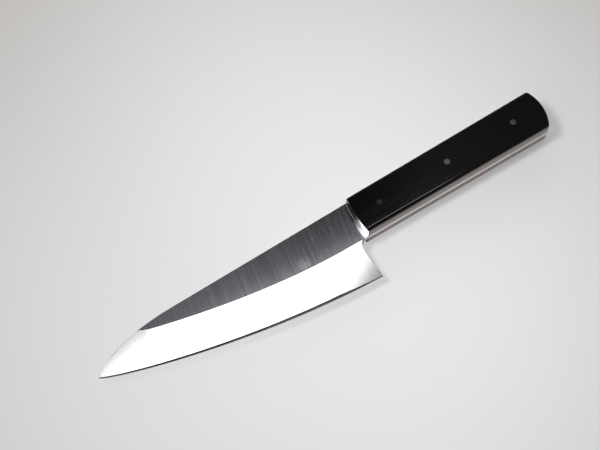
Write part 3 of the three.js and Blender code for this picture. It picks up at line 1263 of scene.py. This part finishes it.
@dataclass(frozen=True)
class PaleTable(Finish):
    """Pale floor with painted light: a glow, stronger towards the tip of the knife, paints the shadows
    lighter there, and the colour fades darker away from the middle as a painted falloff of light.

    The colours are those that the eye and mirrors see: the lit sheet and its glow together.
    """

    # Darker, warmer colour towards the far edge: a painted falloff of light.
    painted_falloff_colour: str = "#afaaa4"
    middle: tuple[float, float] = (-18.0, -14.0)
    near_radius: float = 17.0
    far_radius: float = 366.0
    glow_places: tuple[float, float] = (-105.0, 105.0)
    glow_shares: tuple[float, float] = (0.92, 0.4)
    lit_shares: tuple[float, float] = (0.03, 0.78)

    def texture(self, tree: Tree, shader: Node) -> None:
        """Fades the colour with the distance from the middle, a painted falloff of light, and shares it
        between glow and surface.

        Only camera and mirror rays see the glow, a painted light that makes the shadows lighter.

        Args:
            tree: Node tree of the material.
            shader: Shader of the material.
        """
        # Painted falloff of light: the colour turns darker and warmer away from the middle.
        ring = (self.near_radius * MM, self.far_radius * MM)
        fade = ranged(tree, distance(tree, self.middle), ring, smooth=True)
        colour = blended(tree, fade, linear(self.colour), linear(self.painted_falloff_colour))
        # Painted light: the glow grows towards the tip, so the shadows there are painted lighter.
        along = add_node(tree, "ShaderNodeSeparateXYZ", {"Vector": object_place(tree)}).outputs["X"]
        ends = (self.glow_places[0] * MM, self.glow_places[1] * MM)
        glow = ranged(tree, along, ends, self.glow_shares, smooth=True)
        lit = ranged(tree, along, ends, self.lit_shares, smooth=True)
        tree.links.new(blended(tree, lit, linear(BLACK), colour), shader.inputs["Base Color"])
        rays = add_node(tree, "ShaderNodeLightPath", {}).outputs
        mirrored = worked_out(tree, "MAXIMUM", rays["Is Glossy Ray"], rays["Is Transmission Ray"])
        seen = worked_out(tree, "MAXIMUM", rays["Is Camera Ray"], mirrored)
        tree.links.new(colour, shader.inputs["Emission Color"])
        tree.links.new(worked_out(tree, "MULTIPLY", seen, glow), shader.inputs["Emission Strength"])


@dataclass(frozen=True)
class SoftBox:
    """A rectangular soft light: its middle on the drawing's axes and its size, in millimetres."""

    name: str
    middle: tuple[float, float, float]
    size: tuple[float, float]
    radiance: float
    turn: float = 0.0
    aim: tuple[float, float, float] | None = None

    def build(self, drawing: Drawing) -> bpy.types.Object:
        """Hangs the light: straight down and turned by its angle, or aimed at a point.

        Its power is pi times its area times its radiance.

        Args:
            drawing: Drawing whose axes the place is given on.

        Returns:
            The light's object.
        """
        lamp = bpy.data.lights.new(self.name, "AREA")
        lamp.shape = "RECTANGLE"
        lamp.size, lamp.size_y = (length * MM for length in self.size)
        lamp.energy = pi * lamp.size * lamp.size_y * self.radiance
        light = bpy.data.objects.new(self.name, lamp)
        place = Vector(drawing.in_frame(np.array(self.middle)))
        if self.aim is None:
            light.rotation_euler = (0.0, 0.0, radians(self.turn))
        else:
            sight = Vector(drawing.in_frame(np.array(self.aim))) - place
            light.rotation_euler = sight.to_track_quat("-Z", "Y").to_euler()
        light.location = place
        light.visible_camera = False
        bpy.context.scene.collection.objects.link(light)
        return light


@dataclass(frozen=True)
class Studio:
    """Pale table, soft boxes, a dim room with pale walls, and the camera of the photograph."""

    drawing: Drawing
    table_size: float = 8000.0
    wall_light: float = 1.3
    wall_side: tuple[float, float, float] = (-0.82, 0.57, 0.0)
    wall_facing: tuple[float, float] = (-0.25, 0.35)
    wall_heights: tuple[float, float] = (0.3, 0.75)
    ceiling: tuple[tuple[float, float], ...] = (
        (0.0, 0.05), (0.11, 0.05), (0.14, 0.265), (0.19, 0.145), (0.222, 0.17), (0.26, 0.085),
        (0.293, 0.0), (0.31, 0.0), (0.34, 0.021), (0.4, 0.113), (0.46, 0.075), (0.62, 0.03), (1.0, 0.3),
    )
    heading: float = 37.335
    elevation: float = 65.0
    roll: float = 4.0
    target: tuple[float, float, float] = (-26.09, 10.966, 7.3)
    distance: float = 741.06
    lens: float = 90.0
    sensor: float = 36.0
    farthest_seen: float = 100.0

    def boxes(self) -> list[SoftBox]:
        """Lists the lights.

        A lamp stands at left. The bevels mirror a strip overhead, with a fainter rim behind it, and the
        handle's front mirrors a box at left. Low panels stand behind and in front.

        Returns:
            The soft boxes.
        """
        across = radians(self.heading)
        behind = np.array((sin(across), cos(across)))
        knife = (0.0, 0.0, 0.0)
        return [
            SoftBox("key_lamp", (-301.0, 120.0, 600.0), (155.0, 155.0), 31.0, aim=knife),
            SoftBox("strip_light", (75.0, 270.0, 1200.0), (880.0, 155.7), 3.0, turn=3.5),
            SoftBox("strip_rim", (160.0, 369.0, 1200.0), (180.0, 32.0), 2.0, turn=3.5),
            SoftBox("left_box", (-470.0, 340.0, 1200.0), (240.0, 180.0), 4.3),
            SoftBox("rear_panel", (*(behind * 1300.0), 450.0), (2200.0, 800.0), 1.0, aim=knife),
            SoftBox("near_panel", (60.0, -900.0, 60.0), (1600.0, 110.0), 3.0, aim=knife),
        ]

    def table(self, finish: Material) -> bpy.types.Object:
        """Lays the table top as one large square just under the knife."""
        half = self.table_size * MM / 2
        corner = np.array(((-1.0, -1.0, 0.0), (1.0, -1.0, 0.0), (1.0, 1.0, 0.0), (-1.0, 1.0, 0.0)))
        mesh = bpy.data.meshes.new("table_top")
        mesh.from_pydata((corner * half).tolist(), [], [(0, 1, 2, 3)])
        mesh.materials.append(finish)
        table = bpy.data.objects.new("table_top", mesh)
        bpy.context.scene.collection.objects.link(table)
        return table

    def room(self) -> None:
        """Makes the world: pale walls behind and at left, and a dim ceiling that varies along the knife.

        The ceiling's level goes by the lean of the sight, its x divided by its z.
        """
        world = bpy.data.worlds.new("studio_room")
        world.use_nodes = True
        tree = world.node_tree
        sight = add_node(tree, "ShaderNodeTexCoord", {}).outputs["Generated"]
        axes = add_node(tree, "ShaderNodeSeparateXYZ", {"Vector": sight}).outputs
        towards = add_node(tree, "ShaderNodeVectorMath", {
            0: sight, 1: self.wall_side,
        }, operation="DOT_PRODUCT").outputs["Value"]
        side = ranged(tree, towards, self.wall_facing, smooth=True)
        low = ranged(tree, axes["Z"], self.wall_heights, (self.wall_light, 0.0), smooth=True)
        lean = worked_out(tree, "DIVIDE", axes["X"], axes["Z"])
        ceiling = add_node(tree, "ShaderNodeValToRGB", {"Fac": lean})
        stops = ceiling.color_ramp.elements
        while len(stops) < len(self.ceiling):
            stops.new(1.0)
        for stop, (place, level) in zip(stops, self.ceiling):
            stop.position = place
            stop.color = (level, level, level, 1.0)
        light = worked_out(tree, "MULTIPLY_ADD", side, low, ceiling.outputs["Color"])
        background = tree.nodes["Background"].inputs
        tree.links.new(light, background["Strength"])
        background["Color"].default_value = linear(WHITE)
        bpy.context.scene.world = world

    def camera(self) -> bpy.types.Object:
        """Sets the camera up by heading, elevation and roll round its target."""
        across, rise, roll = (radians(a) for a in (self.heading, self.elevation, self.roll))
        ahead = Vector((sin(across), cos(across), 0.0))
        aside = Vector((cos(across), -sin(across), 0.0))
        above = Vector((0.0, 0.0, 1.0))
        sight = ahead * cos(rise) - above * sin(rise)
        upright = ahead * sin(rise) + above * cos(rise)
        right = aside * cos(roll) + upright * sin(roll)
        up = upright * cos(roll) - aside * sin(roll)
        place = Vector(self.drawing.in_frame(np.array(self.target))) - sight * self.distance * MM
        lens = bpy.data.cameras.new("photo_camera")
        lens.sensor_fit = "HORIZONTAL"
        lens.sensor_width = self.sensor
        lens.lens = self.lens
        lens.clip_end = self.farthest_seen
        camera = bpy.data.objects.new("photo_camera", lens)
        turned = Matrix((right, up, -sight)).transposed().to_4x4()
        camera.matrix_world = Matrix.Translation(place) @ turned
        bpy.context.scene.collection.objects.link(camera)
        bpy.context.scene.camera = camera
        return camera

    def build(self, finish: Material) -> None:
        """Builds table, lights, room and camera."""
        self.table(finish)
        for box in self.boxes():
            box.build(self.drawing)
        self.room()
        self.camera()
        bpy.context.scene.view_settings.view_transform = "Standard"


# Brushed across on a belt: a soft satin that mirrors the dim ceiling and shows faint lines up the flat.
BRUSHED_FLAT = GrainedSteel(
    "stainless_steel_belt_brushed", "#cbc7ce", 0.13, dark_colour="#b7b3bb", grain=0.8,
    grain_length=40.0, shares=(0.92, 0.06, 0.02), roughness_spread=0.006, anisotropy=0.85,
    rub_middle=(-19.5, 5.0),
)
# Ground and buffed: nearly a mirror, with the last lines of the wheel square to the edge.
POLISHED_BEVEL = GrainedSteel(
    "stainless_steel_buffed", "#dcdbde", 0.135, dark_colour="#dad9dc", roughness_spread=0.001,
    bump=0.00001, anisotropy=0.7,
)
# Whetted on a fine stone: dull beside the bevel, so the edge draws a thin line.
HONED_EDGE = GrainedSteel(
    "stainless_steel_whetted", "#bdbcbf", 0.16, dark_colour="#aeadb0", grain=0.2, grain_length=4.0,
    bump=0.0001,
)
# Belt ground along its length: the spine, choil and tang edge are plain and a little rough.
GROUND_RIM = GrainedSteel(
    "stainless_steel_belt_ground", "#eaddda", 0.38, dark_colour="#dacecb", lean=90.0,
)
# Rod buffed flush with the scales: a plain grey disc, with hardly any lines left.
BUFFED_PIN = GrainedSteel(
    "stainless_steel_rod_buffed", "#e2e0de", 0.03, dark_colour="#dddbd9", grain=0.5, grain_length=3.0,
    lean=90.0, roughness_spread=0.002, bump=0.000005,
)
# Paper laminate buffed to a gloss: black in itself, so it shows mostly what it mirrors.
BUFFED_LAMINATE = PolishedComposite("black_phenolic_laminate_buffed", "#070806", 0.05, ior=1.58)
# The same laminate sanded on the sides: satin, and brownish grey beside the black face; the grey is a
# painted reflection of the bright table in the black sides.
SANDED_LAMINATE_PAINTED_REFLECTION = SandedComposite(
    "black_laminate_sanded_painted_reflection", "#887b74", 0.25, dark_colour="#796e67", ior=1.58,
)
# Adhesive bead at the foot of the front, coloured pale pinkish as a painted highlight: a thin light line
# between steel and black.
ADHESIVE_BEAD_PAINTED_HIGHLIGHT = SandedComposite(
    "adhesive_bead_painted_highlight", "#aa968e", 0.3, dark_colour="#8c7870", layer_length=2.0,
)
# Pale matt floor with painted light: its glow keeps the shadows light, and its colour fades darker away
# from the middle as a painted falloff of light.
PALE_FLOOR_PAINTED_LIGHT = PaleTable("matt_floor_painted_falloff_and_glow", "#e4e5e7", 0.7)


def main() -> None:
    """Builds the studio and the six pieces of the knife."""
    logging.basicConfig(level=logging.INFO, format="%(message)s")
    drawing = Drawing.from_frame()
    Studio(drawing).build(PALE_FLOOR_PAINTED_LIGHT.material())
    steel = {
        Patch.FLAT: BRUSHED_FLAT.material(),
        Patch.BEVEL: POLISHED_BEVEL.material(),
        Patch.EDGE: HONED_EDGE.material(),
        Patch.RIM: GROUND_RIM.material(),
    }
    GroundBlade(drawing).build(steel)
    laminate = {
        Patch.RIM: BUFFED_LAMINATE.material(),
        Patch.SANDED: SANDED_LAMINATE_PAINTED_REFLECTION.material(),
        Patch.BEAD: ADHESIVE_BEAD_PAINTED_HIGHLIGHT.material(),
    }
    for side in Side:
        HandleScale(drawing, side).build(laminate)
    rod = BUFFED_PIN.material()
    for place, node in enumerate(("front_pin", "middle_pin", "rear_pin")):
        HandlePin(drawing, place, node).build(rod)


if __name__ == "__main__":
    main()
